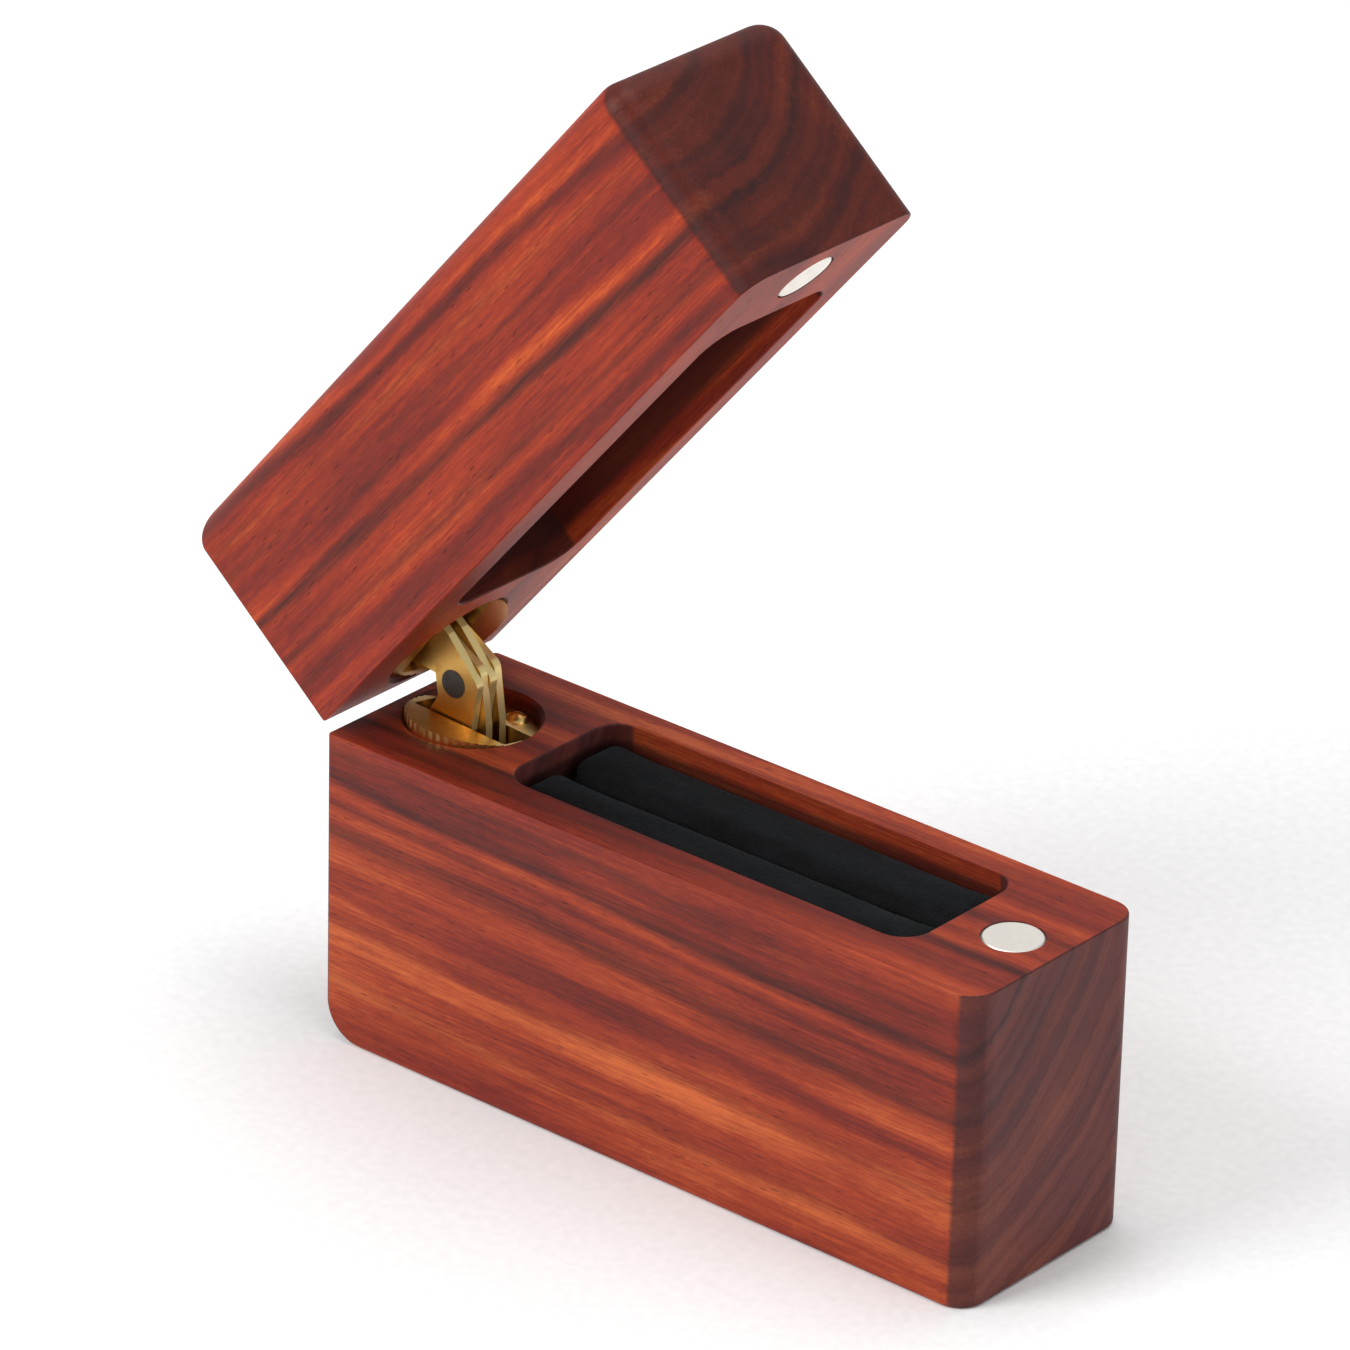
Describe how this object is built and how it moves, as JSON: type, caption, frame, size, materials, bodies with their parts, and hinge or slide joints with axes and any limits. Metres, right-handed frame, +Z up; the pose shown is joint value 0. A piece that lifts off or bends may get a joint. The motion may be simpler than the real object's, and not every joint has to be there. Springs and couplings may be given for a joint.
{
  "type": "ring box",
  "caption": "Slim hinged wooden ring box: solid base and lid with routed pockets, a brass barrel hinge at one end, a magnetic catch at the other and a velvet ring pad.",
  "frame": {"origin": "centre of the base block's underside, on the surface that the box stands on", "axes": "+Z up, +X along the box from the hinge end to the catch end, +Y to the box's rear long side; the lid is stored open at 50 degrees"},
  "size_m": [0.0934, 0.0236, 0.105],
  "materials": {
    "rosewood": "oiled satin",
    "hinge_brass": "bright turned brass",
    "pin_steel": "dark steel",
    "magnet_nickel": "nickel plated, lightly scuffed",
    "black_velvet": "short pile velvet",
    "pad_card": "matt black card"
  },
  "bodies": {
    "base": {"base_block": "rosewood", "base_barrel": "hinge_brass", "base_clamp_screw": "hinge_brass", "base_link_pin": "pin_steel", "base_magnet": "magnet_nickel", "pad_board": "pad_card", "pad_roll_front": "black_velvet", "pad_roll_rear": "black_velvet"},
    "lid": {"lid_block": "rosewood", "lid_barrel": "hinge_brass", "lid_clamp_screw": "hinge_brass", "lid_link_pin": "pin_steel", "lid_magnet": "magnet_nickel"},
    "link_a": {"link_a_front_plate": "hinge_brass", "link_a_rear_plate": "hinge_brass", "centre_pin": "pin_steel", "link_a_guide_pin": "pin_steel"},
    "link_b": {"link_b_front_plate": "hinge_brass", "link_b_rear_plate": "hinge_brass", "link_b_guide_pin": "pin_steel"}
  },
  "joints": [
    {"name": "lid_hinge", "type": "hinge", "parent": "base", "child": "lid", "pos_m": [-0.03966, 0, 0.03185], "axis": [0, -1, 0], "range_deg": [-50, 50]},
    {"name": "link_a_pivot", "type": "hinge", "parent": "base", "child": "link_a", "pos_m": [-0.03409, 0, 0.0303], "axis": [0, -1, 0], "range_deg": [-50, 50]},
    {"name": "link_b_pivot", "type": "hinge", "parent": "link_a", "child": "link_b", "pos_m": [-0.0317, 0, 0.03556], "axis": [0, -1, 0], "range_deg": [-50, 50]}
  ],
  "couplings": [
    {"joint": "link_a_pivot", "follows": "lid_hinge", "ratio": 1},
    {"joint": "link_b_pivot", "follows": "lid_hinge", "ratio": -1}
  ]
}
